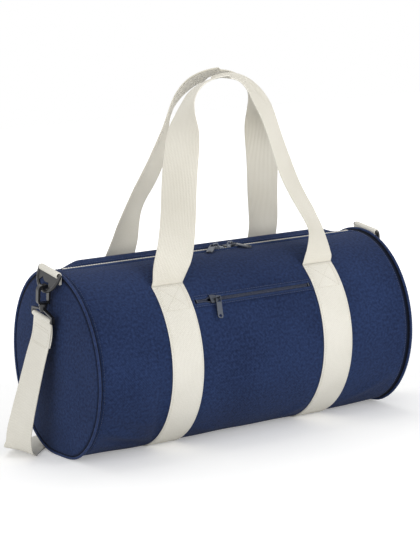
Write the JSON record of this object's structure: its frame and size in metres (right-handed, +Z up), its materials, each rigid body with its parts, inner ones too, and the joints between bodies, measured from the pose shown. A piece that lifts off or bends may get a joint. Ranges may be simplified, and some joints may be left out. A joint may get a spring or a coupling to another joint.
{
  "type": "barrel bag",
  "caption": "Navy barrel-shaped holdall with cream webbing bands and carry handles, a two-slider zip on top, a zipped front pocket and a clip-on shoulder strap.",
  "frame": {"origin": "on the floor plane under the middle of the barrel, on the underside of its cloth between the two bands", "axes": "+X along the barrel towards its right end as seen from the pocket side, +Z up from the floor, so the pocket is on the -Y side"},
  "size_m": [0.6446, 0.2717, 0.516],
  "materials": {
    "navy_cloth": "woven, matt",
    "navy_piping": "woven over a cord, matt",
    "lining": "plain woven lining",
    "zip_tape": "woven tape",
    "zip_teeth": "moulded, satin",
    "pocket_coil": "monofilament coil",
    "gunmetal": "dark plated, satin",
    "cream_webbing": "ribbed webbing",
    "handle_webbing": "ribbed webbing",
    "black_plastic": "moulded, satin"
  },
  "bodies": {
    "bag": {"barrel_panel": "navy_cloth", "end_panel_left": "navy_cloth", "end_panel_right": "navy_cloth", "piping_left": "navy_piping", "piping_right": "navy_piping", "zip_tape_front": "zip_tape", "zip_tape_back": "zip_tape", "zip_teeth_front": "zip_teeth", "zip_teeth_back": "zip_teeth", "zip_stops": "zip_teeth", "band_left": "cream_webbing", "band_right": "cream_webbing", "ring_tab_left": "cream_webbing", "ring_tab_right": "cream_webbing", "pocket_welt": "navy_cloth", "pocket_tape": "zip_tape", "pocket_coil": "pocket_coil", "pocket_stops": "gunmetal", "pocket_pouch": "lining"},
    "front_handle": {"handle_front": "handle_webbing"},
    "back_handle": {"handle_back": "handle_webbing"},
    "left_slider": {"slider_left": "gunmetal"},
    "left_pull": {"pull_left": "gunmetal"},
    "right_slider": {"slider_right": "gunmetal"},
    "right_pull": {"pull_right": "gunmetal"},
    "pocket_zip_slider": {"pocket_slider": "gunmetal"},
    "pocket_zip_pull": {"pocket_pull": "gunmetal"},
    "left_ring": {"d_ring_left": "black_plastic"},
    "right_ring": {"d_ring_right": "black_plastic"},
    "strap": {"shoulder_strap": "cream_webbing", "strap_loop_left": "black_plastic", "strap_loop_right": "black_plastic"},
    "left_hook": {"hook_left": "black_plastic"},
    "right_hook": {"hook_right": "black_plastic"},
    "left_gate": {"gate_left": "black_plastic"},
    "right_gate": {"gate_right": "black_plastic"},
    "adjuster": {"strap_adjuster": "black_plastic"}
  },
  "joints": [
    {"name": "front_handle_fold", "type": "hinge", "parent": "bag", "child": "front_handle", "pos_m": [0.003, -0.07741, 0.23262], "axis": [1, 0, 0], "range_deg": [0, 135]},
    {"name": "back_handle_fold", "type": "hinge", "parent": "bag", "child": "back_handle", "pos_m": [0.003, 0.07741, 0.23262], "axis": [-1, 0, 0], "range_deg": [0, 135]},
    {"name": "left_zip_travel", "type": "slide", "parent": "bag", "child": "left_slider", "axis": [-1, 0, 0], "range_m": [0, 0.238], "deforming": ["zip_teeth_front", "zip_teeth_back", "zip_tape_front", "zip_tape_back"]},
    {"name": "left_pull_lift", "type": "hinge", "parent": "left_slider", "child": "left_pull", "pos_m": [0.00432, 0.00159, 0.26505], "axis": [-0.7071, 0.7071, 0], "range_deg": [0, 54]},
    {"name": "right_zip_travel", "type": "slide", "parent": "bag", "child": "right_slider", "axis": [1, 0, 0], "range_m": [0, 0.2], "deforming": ["zip_teeth_front", "zip_teeth_back", "zip_tape_front", "zip_tape_back"]},
    {"name": "right_pull_lift", "type": "hinge", "parent": "right_slider", "child": "right_pull", "pos_m": [0.03376, 0.00167, 0.26505], "axis": [-0.7431, -0.6691, 0], "range_deg": [0, 54]},
    {"name": "pocket_zip_travel", "type": "slide", "parent": "bag", "child": "pocket_zip_slider", "axis": [1, 0, 0], "range_m": [-0.018, 0.13], "deforming": ["pocket_coil", "pocket_tape"]},
    {"name": "pocket_pull_turn", "type": "hinge", "parent": "pocket_zip_slider", "child": "pocket_zip_pull", "pos_m": [-0.05848, -0.10225, 0.2089], "axis": [0, -0.8327, 0.5538], "range_deg": [-10, 95]},
    {"name": "left_ring_swing", "type": "hinge", "parent": "bag", "child": "left_ring", "pos_m": [-0.27, -0.013, 0.262], "axis": [0, -0.9848, -0.1736], "range_deg": [0, 3]},
    {"name": "right_ring_swing", "type": "hinge", "parent": "bag", "child": "right_ring", "pos_m": [0.27, -0.013, 0.262], "axis": [0, 0.9848, 0.1736], "range_deg": [0, 3]},
    {"name": "strap_swing", "type": "hinge", "parent": "bag", "child": "strap", "pos_m": [0, -0.013, 0.262], "axis": [1, 0, 0], "range_deg": [0, 25]},
    {"name": "left_hook_swivel", "type": "hinge", "parent": "strap", "child": "left_hook", "pos_m": [-0.27944, -0.00555, 0.21974], "axis": [0, -0.1736, 0.9848], "range_deg": [-10, 10]},
    {"name": "right_hook_swivel", "type": "hinge", "parent": "strap", "child": "right_hook", "pos_m": [0.27944, -0.00555, 0.21974], "axis": [0, -0.1736, 0.9848], "range_deg": [-10, 10]},
    {"name": "left_gate_press", "type": "hinge", "parent": "left_hook", "child": "left_gate", "pos_m": [-0.27144, -0.00524, 0.21796], "axis": [0, -0.9848, -0.1736], "range_deg": [0, 28], "stiffness_Nm_per_rad": 0.02},
    {"name": "right_gate_press", "type": "hinge", "parent": "right_hook", "child": "right_gate", "pos_m": [0.27144, -0.00524, 0.21796], "axis": [0, 0.9848, 0.1736], "range_deg": [0, 28], "stiffness_Nm_per_rad": 0.02},
    {"name": "adjuster_travel", "type": "slide", "parent": "strap", "child": "adjuster", "axis": [1, 0, 0], "range_m": [-0.06, 0.06]}
  ]
}
